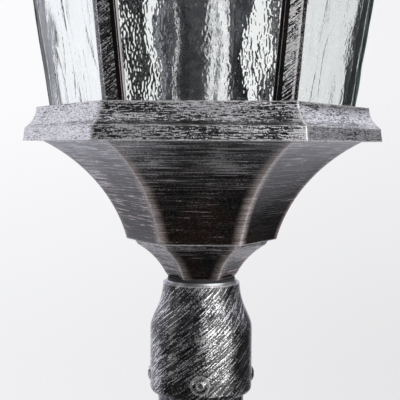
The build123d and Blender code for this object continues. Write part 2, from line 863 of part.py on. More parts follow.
# Finial: turned knob, threaded on the stud
ball_radius = finial_ball_diameter / 2
tip_radius = finial_tip_diameter / 2
ball_centre = finial_bottom + finial_height - ball_radius - tip_radius
with BuildPart() as finial:
    with BuildSketch(Plane.XZ):
        with BuildLine():
            Polyline(
                (0, finial_bottom),
                (finial_base_diameter / 2, finial_bottom),
                (finial_base_diameter / 2, finial_bottom + finial_base_height),
                (finial_waist_diameter / 2, finial_bottom + finial_base_height + finial_taper),
                (finial_waist_diameter / 2, ball_centre),
                (0, ball_centre),
                close=True,
            )
        make_face()
        with Locations((0, ball_centre)):
            Circle(ball_radius)
        with Locations((0, ball_centre + ball_radius)):
            Circle(tip_radius)
        split(bisect_by=Plane.YZ, keep=Keep.TOP)
    revolve(axis=Axis.Z)
    with BuildSketch(Plane.XY.offset(finial_bottom)):
        Circle(stud_radius + cap_clearance)
    extrude(amount=stud_grip + overcut, mode=Mode.SUBTRACT)
finial.part.label = "finial"
export_step(finial.part, "parts/finial.step")

# Lamp holder base, screwed on the nipple
spigot_radius = holder_radius - holder_wall - seat_clearance / 2
with BuildPart() as holder_base:
    with BuildSketch(Plane.XZ):
        with BuildLine():
            Polyline(
                (nut_hole, upper_nut_top),
                (holder_radius, upper_nut_top),
                (holder_radius, holder_shoulder),
                (spigot_radius, holder_shoulder),
                (spigot_radius, holder_shoulder + holder_spigot),
                (spigot_radius - holder_wall, holder_shoulder + holder_spigot),
                (spigot_radius - holder_wall, holder_shoulder),
                (nut_hole, nipple_top),
                (nut_hole, upper_nut_top),
            )
        make_face()
    revolve(axis=Axis.Z)
    outer_rim = holder_base.edges().filter_by(GeomType.CIRCLE).group_by(Axis.Z)[0].sort_by(SortBy.RADIUS)[-1]
    chamfer(outer_rim, holder_chamfer)
holder_base.part.label = "holder_base"
export_step(holder_base.part, "parts/holder_base.step")

# Lamp holder shell, pushed over the base
with BuildPart() as holder_shell:
    add(disc(holder_radius, holder_shoulder, holder_top, holder_radius - holder_wall))
    chamfer(holder_shell.edges().filter_by(GeomType.CIRCLE).group_by(Axis.Z)[-1], holder_chamfer)
holder_shell.part.label = "holder_shell"
export_step(holder_shell.part, "parts/holder_shell.step")

# Insulating core on the spigot of the base
with BuildPart() as holder_core:
    add(disc(spigot_radius, core_bottom, core_top, core_hole / 2))
holder_core.part.label = "holder_core"
export_step(holder_core.part, "parts/holder_core.step")

# Threaded metal sleeve on the core
with BuildPart() as holder_sleeve:
    add(disc(sleeve_bore + sleeve_wall, core_top, core_top + sleeve_height, sleeve_bore))
holder_sleeve.part.label = "holder_sleeve"
export_step(holder_sleeve.part, "parts/holder_sleeve.step")

# Centre contact: bent springy strip on the core
with BuildPart() as holder_contact:
    with BuildSketch(Plane.XZ):
        with BuildLine():
            Polyline(
                (-contact_width, core_top),
                (contact_foot, core_top),
                (contact_foot, core_top + contact_thickness),
                (-contact_width + contact_thickness, core_top + contact_thickness),
                (-contact_width + contact_thickness, core_top + contact_height - contact_thickness),
                (contact_tongue, core_top + contact_height - contact_thickness),
                (contact_tongue, core_top + contact_height),
                (-contact_width, core_top + contact_height),
                close=True,
            )
        make_face()
    extrude(amount=contact_width / 2, both=True)
holder_contact.part.label = "holder_contact"
export_step(holder_contact.part, "parts/holder_contact.step")

# Bulb: contact tip, screw cap and glass envelope
tip_bottom = core_top + contact_height
cap_bottom = tip_bottom + tip_height
cap_rim = cap_bottom + cap_height
with BuildPart() as bulb_tip:
    with BuildSketch(Plane.XY.offset(tip_bottom)):
        Circle(tip_diameter / 2)
    extrude(amount=tip_height)
    chamfer(bulb_tip.edges().group_by(Axis.Z)[0], tip_chamfer)
bulb_tip.part.label = "bulb_tip"
export_step(bulb_tip.part, "parts/bulb_tip.step")

with BuildPart() as bulb_cap:
    with BuildSketch(Plane.XZ):
        with BuildLine():
            Polyline(
                (0, cap_bottom),
                (tip_diameter / 2, cap_bottom),
                (cap_diameter / 2, cap_bottom + cap_cone_height),
                (cap_diameter / 2, cap_rim),
                (0, cap_rim),
                close=True,
            )
        make_face()
    revolve(axis=Axis.Z)
bulb_cap.part.label = "bulb_cap"
export_step(bulb_cap.part, "parts/bulb_cap.step")

bulb_radius = bulb_diameter / 2
bulb_centre = cap_rim + bulb_height - bulb_radius
with BuildPart() as bulb_envelope:
    with BuildSketch(Plane.XZ):
        with BuildLine():
            Polyline((0, cap_rim), (cap_diameter / 2, cap_rim))
            Bezier(
                (cap_diameter / 2, cap_rim),
                (cap_diameter / 2, cap_rim + bulb_neck_pull * (bulb_centre - cap_rim)),
                (bulb_radius, bulb_centre - bulb_shoulder_pull * (bulb_centre - cap_rim)),
                (bulb_radius, bulb_centre),
            )
            ThreePointArc(
                (bulb_radius, bulb_centre),
                (bulb_radius * cos(radians(45)), bulb_centre + bulb_radius * sin(radians(45))),
                (0, bulb_centre + bulb_radius),
            )
            Line((0, bulb_centre + bulb_radius), (0, cap_rim))
        make_face()
    revolve(axis=Axis.Z)
bulb_envelope.part.label = "bulb_envelope"
export_step(bulb_envelope.part, "parts/bulb_envelope.step")

# Supply lead from the lamp holder down the post
with BuildPart() as supply_lead:
    with BuildSketch(Plane.XY.offset(lead_bottom)):
        Circle(lead_diameter / 2)
    extrude(amount=core_bottom - lead_bottom)
supply_lead.part.label = "supply_lead"
export_step(supply_lead.part, "parts/supply_lead.step")

# Terminal block at the end of the lead, in the chamber of the foot
with BuildPart() as terminal_block:
    with Locations((0, 0, lead_bottom - block_height / 2)):
        Box(block_length, block_width, block_height)
    fillet(terminal_block.edges().filter_by(Axis.Z), block_rounding)
terminal_block.part.label = "terminal_block"
export_step(terminal_block.part, "parts/terminal_block.step")

# Clamp screws on the side of the block
with BuildPart() as terminal_screws:
    for offset in (-clamp_pitch, 0, clamp_pitch):
        with BuildSketch(Plane.XZ.offset(block_width / 2)):
            with Locations((offset, lead_bottom - block_height / 2)):
                Circle(clamp_diameter / 2)
        extrude(amount=clamp_height)
terminal_screws.part.label = "terminal_screws"
export_step(terminal_screws.part, "parts/terminal_screws.step")
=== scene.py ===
from itertools import product
from math import cos, pi, radians, sin, tan

import bpy
from mathutils import Euler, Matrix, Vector, noise


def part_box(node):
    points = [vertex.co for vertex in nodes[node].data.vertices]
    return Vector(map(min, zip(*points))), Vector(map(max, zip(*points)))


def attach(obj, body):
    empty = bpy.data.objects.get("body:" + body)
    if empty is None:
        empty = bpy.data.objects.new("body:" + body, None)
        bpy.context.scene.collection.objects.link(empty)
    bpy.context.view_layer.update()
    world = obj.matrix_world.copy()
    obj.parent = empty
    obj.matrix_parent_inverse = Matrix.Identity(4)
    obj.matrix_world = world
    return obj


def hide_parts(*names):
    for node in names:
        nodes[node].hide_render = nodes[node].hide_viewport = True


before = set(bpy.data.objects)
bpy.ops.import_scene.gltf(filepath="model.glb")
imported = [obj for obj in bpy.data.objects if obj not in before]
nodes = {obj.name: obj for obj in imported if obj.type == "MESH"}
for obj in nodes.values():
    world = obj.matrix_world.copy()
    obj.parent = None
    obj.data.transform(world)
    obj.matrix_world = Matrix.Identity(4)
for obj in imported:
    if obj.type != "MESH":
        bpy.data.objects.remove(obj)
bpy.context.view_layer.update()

# Post-top landscape light: antique silver castings, rolled ripple glass, dark lamp holder.
# Lengths are in metres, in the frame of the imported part: Z up, front towards -Y.

MM = 0.001

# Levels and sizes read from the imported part
ring_bottom, tray_top = (corner[2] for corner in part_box("tray"))
neck_bottom, neck_top = (corner[2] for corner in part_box("neck"))
skirt_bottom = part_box("skirt")[0][2]
top_ring_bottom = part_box("top_ring")[0][2]
collar_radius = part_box("collar")[1][0]

# Half the angle that a side of the lantern's hexagon takes up, seen from its axis
HEXAGON_HALF = radians(30)

# Camera
EYE_ASIDE = 7.63 * MM
EYE_DISTANCE = 439.3 * MM
EYE_BELOW_RING = 1.4 * MM
NEAREST_SEEN = 10 * MM
LENS = 81.1
SENSOR = 36
PITCH = 3.544
YAW = 1.118
ROLL = 0.25

# Floor
FLOOR_RADIUS = 1.6
FLOOR_LEFT = 0.4
FLOOR_BACK = 0.5
FLOOR_SIDES = 64
FLOOR_MOTTLE = 0.2
FLOOR_ROUGHNESS = 0.9
# Painted shade on the floor in reflections, from its front to its back
FLOOR_FRONT_TO_BACK = (-0.1, 0.7)

# Studio, with steps as two limits, then the values at them where they aren't 0 and 1
LANTERN_HEIGHT = 0.8
BACK_LEANS_LEFT = -0.5
BACK_WALL = (0.5, 0.85, 0.0, 0.95)
CEILING = (0.05, 0.35)
CEILING_TO_BACK = (-0.3, 0.4, 0.2, 1.0)
DARKEST_WALL = 0.04
SEEN_LEFT_TO_RIGHT = (-0.3, 0.3, 0.985, 0.90)
SEEN_LOW_TO_HIGH = (-0.25, 0.1, -0.10, 0.0)
HALF_A_BOUNCE = 0.5

# Panes, by the direction that each one faces, in degrees from +X
PANE_FACINGS = {
    "pane_back_right": 30,
    "pane_back": 90,
    "pane_back_left": 150,
    "pane_front_left": 210,
    "pane_front": 270,
    "pane_front_right": 330,
}
FRONT_AND_BACK = (90, 270)

# Rolled glass: small cells on broad waves, with long reams on the calmer side panes
CELL_WIDTH = 1.4 * MM
CELL_HEIGHT = 2.6 * MM
CELL_DEPTH = 0.07 * MM
WAVE_WIDTH = 12 * MM
WAVE_HEIGHT = 19 * MM
WAVE_DEPTH = 1.7 * MM
WAVE_SEED = 0.5
REAM_WIDTH = 12 * MM
REAM_HEIGHT = 60 * MM
REAM_DEPTH = 0.2 * MM
REAM_SHARPNESS = 16
REAM_SEED = 1.5
SIDE_CELLS = 0.3
GLASS_SEED = 2.71
PANE_SEED = 7.3
GRID_ACROSS = 0.5 * MM
GRID_UP = 0.9 * MM
SAME_PLACE = 0.01 * MM
GLASS_IOR = 1.5
GLASS_SHINE = 0.25
GLASS_DENSITY = 3.0
SKIN_WIDTH = 0.9 * MM
SKIN_HEIGHT = 1.8 * MM
SKIN_DETAIL = 0.0
LIVELY_SKIN = 0.065 * MM
CALM_SKIN = 0.03 * MM

# Ground edges of the panes
CHIP = 1.2 * MM
CHIP_DEPTH = 0.1 * MM
CHIP_BUMP = 0.6
CHIP_GLOSS = (0.3, 0.7, 0.25, 0.55)
STREAK_WIDTH = 1.5 * MM
STREAK_HEIGHT = 14 * MM
STREAK_DETAIL = 3.0
STREAKS = (0.35, 0.65)
EDGE_CLEARNESS = 0.5

# Sealant in the bare glass corners
SEAL_LEG = 7.5 * MM
SEAL_GAP = 0.1 * MM
SEAL_STEPS = 8
SEAL_PORE = 1.5 * MM
SEAL_PORE_DEPTH = 0.05 * MM

# Noise, as detail and roughness
CLOUDY = (3.0, 0.6)
PORED = (2.0, 0.6)
CHIPPED = (3.0, 0.7)
MEAN_NOISE = 0.5

# Strokes of the dry brush, as length and width
DRAG = (13 * MM, 0.45 * MM)
FINE_FLECK = (2.6 * MM, 0.36 * MM)
BELL_DRAG = (26 * MM, 0.42 * MM)
BELL_FLECK = (14 * MM, 0.36 * MM)
TURNED_FLECK = (6 * MM, 0.5 * MM)
BAR_FLECK = (4 * MM, 0.5 * MM)
DRAG_DETAIL = 2.0
FLECK_DETAIL = 1.5
SLANT = radians(38)
SPIRAL_DEPTH = 8 * MM

# Grain of the silver and its shares
PATCH = 24 * MM
SPECKLE = 0.6 * MM
SPECK = 0.7 * MM
SPECKLE_DETAIL = 1.0
STROKE_SHARE = 0.7
PATCH_SHARE = 0.3
SMEAR_GRIT = 0.2
SMEAR_LOSS = -0.1
SMEAR_END = 0.72
TONE_OF_FLECKS = 0.6
TONE_OF_SPECKLE = 0.4
WORN_BY_PATCH = 0.4
RIDGE_BY_PATCH = 0.6

# Steps in the silver, as two levels, then the values at them where they aren't 0 and 1
CRISP = (0.48, 0.52)
SPECKS = (0.56, 0.72, 0.0, 0.3)
TONES = (0.38, 0.62)
BROWN_PATCHES = (0.45, 0.65)
RUBBED_AND_HIGHLIGHT_FLECKS = (0.35, 0.65, 0.3, 1.0)
WORN_PATCHES = (0.5, 0.8, 0.4, 1.0)
RIDGE_HIGHLIGHT_PATCHES = (0.6, 0.9, 0.3, 1.0)
METAL_OF_SILVER = (0.0, 0.15, 0.0, 0.9)
METAL_OF_RUB_AND_HIGHLIGHT = (0.0, 1.0, 1.0, 0.2)
METAL_OF_WORN = 0.4

# Surface of the silver
COAT_ROUGHNESS = 0.16
SILVER_ROUGHNESS = 0.33
COAT_SHINE = 0.35
SILVER_RELIEF = 0.6
SPECKLE_RELIEF = 0.5
DRAG_RELIEF = 3.0
BRUSH_DEPTH = 0.04 * MM
BRUSH_BUMP = 0.7

# Worn edges: their reach, and the cosine of the normal's bend from a flat place to an edge
EDGE_WEAR = 1.2 * MM
EDGE_BEND = (0.997, 0.94)
EDGE_SAMPLES = 6

# Silver on the hexagonal castings
# Span of x over which the silver goes from the lit left flank to the shaded right one: painted light and
# shade
LEFT_TO_RIGHT = (-1 * MM, 1 * MM)
FLANK_START = (0.5 * MM, 2.5 * MM)
RIDGE_WEAR = (3.0 * MM, 1.7 * MM)
# Reach of the primer rubbed beside the ridges, which is wear and a painted highlight of the rounded ridge
RIDGE_RUB_AND_HIGHLIGHT = (7.0 * MM, 2.0 * MM)
RIDGE_SPECKLE = 2.0 * MM
RIDGE_DRAG = 1.5 * MM
BAND_HEIGHT = 6.25 * MM
HOLLOW_HEIGHT = 2.0 * MM
HOLLOW_SPREAD = 0.8
HOLLOW_LOSS = -0.09
# Painted shade towards the bottom: cover left at the top of the span, and the shares of it on the flanks
# and in the crisp silver
FULL_COVER = 0.02
FLANK_THINNING = 0.4
CRISP_THINNING = 0.5

# Silver on the corner bars, with painted shade on flanges and insides and painted highlights on lips and
# ridges
BAR_EDGE_WEAR = 0.25 * MM
BAR_REACH = 4.9 * MM
BAR_REACH_BLUR = 0.5 * MM
BAR_NARROW_LEG = (0.3 * MM, 0.8 * MM, 0.0, -0.05)
BAR_LIP_HIGHLIGHT = (6.9 * MM, 7.6 * MM)
BAR_LIP_BLUR = 0.1 * MM
BAR_RIDGE = 0.8 * MM
BAR_RIDGE_CORE = 0.6
OUTER_FACE = (5 * MM, 20 * MM)
INNER_FACE = (-5 * MM, -20 * MM)
NO_SILVER = -0.5

# Plain metal
SCRATCH_LENGTH = MM / 0.9
SCRATCH_WIDTH = MM / 6
SCRATCH_DEPTH = 0.02 * MM
METAL_CLOUD = 6 * MM
METAL_DULLING = 0.2
SCRATCHED = (0.3, 1.2)
CLOUDS = (0.3, 0.7)

# Moulded pieces
MOULDED_CLOUD = 9 * MM
MOULDED_GLOSS = (0.25, 0.75)
MOULDED_DULLING = 0.12
FINE_PORE = 0.4 * MM
FINE_PORE_DEPTH = 0.02 * MM
PORE_BUMP = 0.5


def colour(red, green, blue):
    """Opaque colour."""
    return (red, green, blue, 1.0)


# Colours
BLACK_COAT = colour(0.003, 0.003, 0.003)
BROWN_COAT = colour(0.009, 0.004, 0.003)
SILVER = colour(0.86, 0.86, 0.87)
PEWTER = colour(0.40, 0.39, 0.39)
# Worn metal, also the colour of the bars' painted highlights
WORN_AND_HIGHLIGHT = colour(0.80, 0.77, 0.76)
# Brown primer, also the colour of the painted highlight beside rounded ridges
PRIMER_AND_HIGHLIGHT = colour(0.60, 0.51, 0.48)
CLEAR_GLASS = colour(0.99, 1.0, 0.99)
DEEP_GLASS = colour(0.25, 0.75, 0.58)
EDGE_DARK = colour(0.03, 0.07, 0.06)
EDGE_PALE = colour(0.30, 0.42, 0.38)
WHITE = colour(1.0, 1.0, 1.0)
FLOOR_SEEN = (colour(0.86, 0.86, 0.87), colour(0.89, 0.89, 0.90))
# Painted shade of the floor, seen only in reflections: dark in front, pale behind
FLOOR_REFLECTED = (colour(0.06, 0.06, 0.06), colour(0.88, 0.88, 0.89))
LIGHT_REFLECTED = colour(0.90, 0.90, 1.0)
LIGHT_SEEN = colour(0.985, 0.985, 1.0)


class Nodes:
    """A node tree, with short ways to add to it."""

    def __init__(self, tree):
        self.tree = tree

    def put(self, socket, value):
        """Links a socket to another one, or sets its plain value."""
        if isinstance(value, bpy.types.NodeSocket):
            self.tree.links.new(value, socket)
        else:
            socket.default_value = value

    def node(self, kind, inputs=None, **settings):
        """New node with its settings and inputs."""
        made = self.tree.nodes.new(kind)
        for key, value in settings.items():
            setattr(made, key, value)
        for key, value in (inputs or {}).items():
            self.put(made.inputs[key], value)
        return made

    def math(self, operation, first, second=0.0, third=0.0):
        """Result of one Math node."""
        made = self.node("ShaderNodeMath", {0: first, 1: second, 2: third}, operation=operation)
        return made.outputs[0]

    def add(self, *values):
        """Sum of sockets and numbers."""
        total = values[0]
        for value in values[1:]:
            total = self.math("ADD", total, value)
        return total

    def less(self, first, second):
        """Difference of two values."""
        return self.math("SUBTRACT", first, second)

    def times(self, first, second):
        """Product of two values."""
        return self.math("MULTIPLY", first, second)

    def larger(self, first, second):
        """The larger of two values."""
        return self.math("MAXIMUM", first, second)

    def unsigned(self, value):
        """Value without its sign."""
        return self.math("ABSOLUTE", value)

    def vector(self, x, y, z):
        """Vector made of three values."""
        return self.node("ShaderNodeCombineXYZ", {0: x, 1: y, 2: z}).outputs[0]

    def split(self, vector):
        """The three values of a vector."""
        return self.node("ShaderNodeSeparateXYZ", {0: vector}).outputs

    def step(self, value, low, high, first=0.0, last=1.0):
        """Smooth step from a first to a last value, as a value goes from low to high."""
        inputs = {"Value": value, "From Min": low, "From Max": high, "To Min": first, "To Max": last}
        made = self.node("ShaderNodeMapRange", inputs, interpolation_type="SMOOTHSTEP")
        return made.outputs[0]

    def mix(self, factor, first, second):
        """Colour between two colours, which are inputs 6 and 7 of a Mix node."""
        made = self.node("ShaderNodeMix", {0: factor}, data_type="RGBA")
        self.put(made.inputs[6], first)
        self.put(made.inputs[7], second)
        return made.outputs[2]

    def mix_value(self, factor, first, second):
        """Number between two numbers, which are inputs 2 and 3 of a Mix node."""
        return self.node("ShaderNodeMix", {0: factor, 2: first, 3: second}).outputs[0]


class Finish(Nodes):
    """One material, built around its Principled shader."""

    def __init__(self, name):
        self.material = bpy.data.materials.new(name)
        self.material.use_nodes = True
        super().__init__(self.material.node_tree)
        self.shader = self.tree.nodes["Principled BSDF"]
        self.output = self.tree.nodes["Material Output"]
        self.place = self.node("ShaderNodeTexCoord").outputs["Object"]
        self.x, self.y, self.z = self.split(self.place)

    def scaled(self, level, height):
        """Place in units of a level size and a height."""
        return self.vector(
            self.times(self.x, 1 / level),
            self.times(self.y, 1 / level),
            self.times(self.z, 1 / height),
        )

    def noise(self, vector, detail=2.0, roughness=0.5, fourth=None):
        """Noise from 0 to 1 at a vector, with a fourth coordinate where one is given."""
        inputs = {"Vector": vector, "Scale": 1.0, "Detail": detail, "Roughness": roughness}
        dimensions = "3D"
        if fourth is not None:
            inputs["W"] = fourth
            dimensions = "4D"
        return self.node("ShaderNodeTexNoise", inputs, noise_dimensions=dimensions).outputs["Fac"]

    def grain(self, size, detail=2.0, roughness=0.5):
        """Even noise whose features are about that long."""
        inputs = {0: self.place, "Scale": 1 / size}
        scaled = self.node("ShaderNodeVectorMath", inputs, operation="SCALE")
        return self.noise(scaled.outputs[0], detail, roughness)

    def bump(self, height, distance, strength=1.0):
        """Surface normal raised by a height from 0 to 1."""
        inputs = {"Height": height, "Distance": distance, "Strength": strength}
        return self.node("ShaderNodeBump", inputs).outputs[0]

    def edges(self, radius):
        """1 beside the edges of the shape and 0 elsewhere."""
        rounded = self.node("ShaderNodeBevel", {"Radius": radius}, samples=EDGE_SAMPLES).outputs[0]
        flat = self.node("ShaderNodeNewGeometry").outputs["Normal"]
        both = self.node("ShaderNodeVectorMath", {0: rounded, 1: flat}, operation="DOT_PRODUCT")
        return self.step(both.outputs["Value"], *EDGE_BEND)

    def set(self, **inputs):
        """Sets inputs of the shader, named with _ for a space."""
        for key, value in inputs.items():
            self.put(self.shader.inputs[key.replace("_", " ")], value)


def hexagon_places(finish):
    """Where a point is on a hexagonal casting.

    Gives its distance from the axis square to its side, its distance from the nearest ridge, and a length
    that is 0 on the front and back and grows on the other sides.
    """
    one = finish.unsigned(finish.y)
    across = finish.times(finish.x, cos(HEXAGON_HALF))
    along = finish.times(finish.y, sin(HEXAGON_HALF))
    two = finish.unsigned(finish.add(across, along))
    three = finish.unsigned(finish.less(across, along))
    side = finish.larger(one, finish.larger(two, three))
    square = finish.add(finish.times(finish.x, finish.x), finish.times(finish.y, finish.y))
    rest = finish.larger(finish.less(square, finish.times(side, side)), 0.0)
    ridge = finish.less(finish.times(side, tan(HEXAGON_HALF)), finish.math("SQRT", rest))
    return side, ridge, finish.less(side, one)


def level_strokes(finish, length, width, detail):
    """Brush marks that run level round a hexagonal casting."""
    depth = finish.times(finish.side, 1 / width)
    return finish.noise(finish.scaled(length, width), detail, fourth=depth)


def spiral_strokes(finish, length, width, detail):
    """Brush marks that climb round a turned piece."""
    twist = 1 / (collar_radius * tan(SLANT))
    turned = finish.node(
        "ShaderNodeVectorRotate",
        {"Vector": finish.place, "Angle": finish.times(finish.z, -twist)},
        rotation_type="Z_AXIS",
    )
    x, y, z = finish.split(turned.outputs[0])
    radius = finish.math("SQRT", finish.add(finish.times(x, x), finish.times(y, y)))
    fine = finish.math("DIVIDE", collar_radius * sin(SLANT) / width, radius)
    rise = finish.times(z, 1 / (length * sin(SLANT)))
    place = finish.vector(finish.times(x, fine), finish.times(y, fine), rise)
    return finish.noise(place, detail, fourth=finish.times(radius, 1 / SPIRAL_DEPTH))


def slanted_strokes(finish, length, width, detail):
    """Brush marks that climb to the right on an upright bar."""
    shear = finish.less(finish.x, finish.times(finish.z, 1 / tan(SLANT)))
    fine = sin(SLANT) / width
    rise = finish.times(finish.z, 1 / (length * sin(SLANT)))
    place = finish.vector(finish.times(shear, fine), finish.times(finish.y, fine), rise)
    return finish.noise(place, detail)


class Brushed(Finish):
    """Black coat with silver dragged over it by a dry brush, and worn bright on the edges.

    cover moves the share of crisp silver. haze is the strength of the soft smears between, which begin at
    the level soft. fleck and drag are the sizes of a small and a long stroke. drag_share and grit are the
    shares of long strokes and of fine speckle in the crisp silver, and edge is how far edges are worn.
    """

    def __init__(
        self,
        name,
        strokes,
        cover,
        haze,
        fleck,
        drag=DRAG,
        drag_share=0.3,
        grit=0.3,
        soft=0.62,
        edge=EDGE_WEAR,
    ):
        super().__init__(name)
        self.haze = haze
        self.soft = soft
        self.side, self.ridge, self.flank = hexagon_places(self)
        self.drags = strokes(self, *drag, DRAG_DETAIL)
        self.flecks = strokes(self, *fleck, FLECK_DETAIL)
        self.patches = self.grain(PATCH, *CLOUDY)
        self.speckle = self.grain(SPECKLE, SPECKLE_DETAIL)
        self.specks = self.step(self.grain(SPECK, SPECKLE_DETAIL), *SPECKS)
        self.wear = self.edges(edge)
        self.primer_and_highlight = 0.0
        # Painted highlights of the bars' lips and ridges, none unless a bar sets them
        self.pale = 0.0
        patchy = self.times(self.patches, PATCH_SHARE)
        self.load = self.add(
            self.times(self.drags, drag_share),
            self.times(self.flecks, STROKE_SHARE - drag_share),
            self.times(self.speckle, grit),
            patchy,
            cover - MEAN_NOISE * grit,
        )
        self.smear = self.add(self.drags, patchy, self.times(self.speckle, SMEAR_GRIT), SMEAR_LOSS)
        flecked = self.times(self.flecks, TONE_OF_FLECKS)
        tone = self.add(flecked, self.times(self.speckle, TONE_OF_SPECKLE))
        self.pigment = self.mix(self.step(tone, *TONES), PEWTER, SILVER)

    def more(self, amount):
        """More silver of both kinds, or less where the amount is below zero."""
        self.load = self.add(self.load, amount)
        self.smear = self.add(self.smear, amount)

    def shade_flanks_and_rub_ridges(self, left, right, rub_and_highlight=0.0):
        """Paints light on the left flank and shade on the right, wears the ridges, and rubs to primer
        beside them, which is partly a painted highlight.
        """
        # Painted light and shade: more silver on the left flank, less on the right
        side_light = self.step(self.x, *LEFT_TO_RIGHT, left, right)
        self.more(self.times(self.step(self.flank, *FLANK_START), side_light))
        speckled = self.times(self.speckle, RIDGE_SPECKLE)
        rough_ridge = self.add(self.ridge, speckled, self.times(self.drags, RIDGE_DRAG))
        self.wear = self.larger(self.wear, self.step(rough_ridge, *RIDGE_WEAR))
        # Primer beside the ridges: partly wear, partly a painted highlight of the rounded ridge
        self.primer_and_highlight = self.times(self.step(rough_ridge, *RIDGE_RUB_AND_HIGHLIGHT), rub_and_highlight)

    def shade_and_brown_below(self, low, high, loss, dim):
        """Paints shade towards a low level by thinning the silver and dimming its smears, most on the front
        and back, and turns it brown there.
        """
        # Painted shade: less silver and dimmer smears towards the low level
        shade_by_level = self.step(self.z, low, high, -loss, FULL_COVER)
        thin = self.times(shade_by_level, self.step(self.flank, *FLANK_START, 1.0, FLANK_THINNING))
        self.load = self.add(self.load, self.times(thin, CRISP_THINNING))
        self.smear = self.add(self.smear, thin)
        self.haze = self.step(self.z, low, high, self.haze * dim, self.haze)
        self.pigment = self.mix(self.step(self.z, low, high), PRIMER_AND_HIGHLIGHT, self.pigment)

    def blacken(self, level, height):
        """Takes silver out of a hollow that begins at a level and is that high."""
        away = self.unsigned(self.add(self.z, -level - height / 2))
        self.load = self.add(self.load, self.step(away, 0.0, HOLLOW_SPREAD * height, HOLLOW_LOSS, 0.0))

    def shade_bar_flanges(self, reach):
        """Paints shade on a bar's flanges by keeping the silver near its ridge, with less on its narrow
        leg, and drops loose specks.
        """
        # Painted shade: no silver on the flanges beyond the reach from the ridge
        self.more(self.step(self.ridge, reach, reach + BAR_REACH_BLUR, 0.0, NO_SILVER))
        self.more(self.step(self.flank, *BAR_NARROW_LEG))
        self.specks = 0.0

    def shade_inside_and_highlight_lip(self, start, end):
        """Paints shade on a bar's inside with black, and paints a pale highlight strip between two
        distances from its ridge.
        """
        normal = self.node("ShaderNodeNewGeometry").outputs["Normal"]
        outward = self.times(self.split(normal)[1], self.y)
        # Painted shade: no silver on the bar's inner faces
        self.more(self.step(outward, *INNER_FACE, 0.0, NO_SILVER))
        # Painted highlight: pale strip on the outer face between two distances from the ridge
        started = self.step(self.ridge, start, start + BAR_LIP_BLUR)
        ended = self.step(self.ridge, end, end + BAR_LIP_BLUR, 1.0, 0.0)
        self.pale = self.times(self.times(started, ended), self.step(outward, *OUTER_FACE))

    def highlight_ridge(self, width):
        """Paints a pale highlight along the ridge of a bar, in patches."""
        # Painted highlight near the ridge, broken into patches
        near = self.step(self.ridge, BAR_RIDGE_CORE * width, width, 1.0, 0.0)
        patchy = self.add(self.flecks, self.times(self.patches, RIDGE_BY_PATCH))
        self.pale = self.times(near, self.step(patchy, *RIDGE_HIGHLIGHT_PATCHES))

    def dry(self):
        """Puts the layers on the shader and gives the material."""
        crisp = self.step(self.load, *CRISP)
        smeared = self.times(self.step(self.smear, self.soft, SMEAR_END), self.haze)
        silver = self.larger(self.larger(crisp, smeared), self.specks)
        brown = self.larger(self.step(self.patches, *BROWN_PATCHES), self.primer_and_highlight)
        coat = self.mix(brown, BLACK_COAT, BROWN_COAT)
        brushed = self.mix(silver, coat, self.pigment)
        # Rubbed primer: wear, and a painted highlight beside rounded ridges
        rubbed_and_highlight = self.times(self.primer_and_highlight, self.step(self.flecks, *RUBBED_AND_HIGHLIGHT_FLECKS))
        patchy = self.add(self.flecks, self.times(self.patches, WORN_BY_PATCH))
        worn = self.times(self.wear, self.step(patchy, *WORN_PATCHES))
        layers = self.mix(worn, self.mix(rubbed_and_highlight, brushed, PRIMER_AND_HIGHLIGHT), WORN_AND_HIGHLIGHT)
        metal = self.times(self.step(silver, *METAL_OF_SILVER), self.step(self.primer_and_highlight, *METAL_OF_RUB_AND_HIGHLIGHT))
        relief = self.add(
            self.times(silver, SILVER_RELIEF),
            self.times(self.speckle, SPECKLE_RELIEF),
            self.times(self.drags, DRAG_RELIEF),
        )
        # pale lays the bars' painted highlights over the layers, in the worn colour
        self.set(
            Base_Color=self.mix(self.pale, layers, WORN_AND_HIGHLIGHT),
            Metallic=self.mix_value(self.pale, self.mix_value(worn, metal, METAL_OF_WORN), 0.0),
            Roughness=self.mix_value(self.larger(silver, worn), COAT_ROUGHNESS, SILVER_ROUGHNESS),
            Specular_IOR_Level=COAT_SHINE,
            Normal=self.bump(relief, BRUSH_DEPTH, BRUSH_BUMP),
        )
        return self.material


def paint(material, *names):
    """Gives CAD nodes a material."""
    for name in names:
        slots = nodes[name].data.materials
        slots.clear()
        slots.append(material)


# Base ring
tray_finish = Brushed("brushed_tray", level_strokes, cover=0.0, haze=0.5, fleck=FINE_FLECK, grit=0.24)
# Painted light on the left flank and painted shade on the right one
tray_finish.shade_flanks_and_rub_ridges(left=0.065, right=0.035)
tray_finish.blacken(ring_bottom + BAND_HEIGHT, HOLLOW_HEIGHT)
paint(tray_finish.dry(), "tray")

# Bell skirt
bell_finish = Brushed(
    "brushed_bell",
    level_strokes,
    cover=-0.05,
    haze=0.55,
    fleck=BELL_FLECK,
    drag=BELL_DRAG,
    grit=0.15,
    soft=0.6,
)
# Painted light on the left flank and painted shade on the right one
bell_finish.shade_flanks_and_rub_ridges(left=-0.01, right=-0.05, rub_and_highlight=0.9)
# Painted shade: less silver towards the bottom of the bell
bell_finish.shade_and_brown_below(skirt_bottom, ring_bottom, loss=0.16, dim=0.3)
paint(bell_finish.dry(), "skirt")

# Neck
neck_finish = Brushed("brushed_neck", level_strokes, cover=-0.10, haze=0.9, fleck=FINE_FLECK)
# Painted light on the left flank and painted shade on the right one
neck_finish.shade_flanks_and_rub_ridges(left=0.06, right=0.05, rub_and_highlight=0.5)
# Painted shade: less silver towards the bottom of the neck
neck_finish.shade_and_brown_below(neck_bottom, neck_top, loss=0.28, dim=0.9)
paint(neck_finish.dry(), "neck")

# Roof and top ring
roof_finish = Brushed("brushed_roof", level_strokes, cover=-0.02, haze=0.5, fleck=FINE_FLECK)
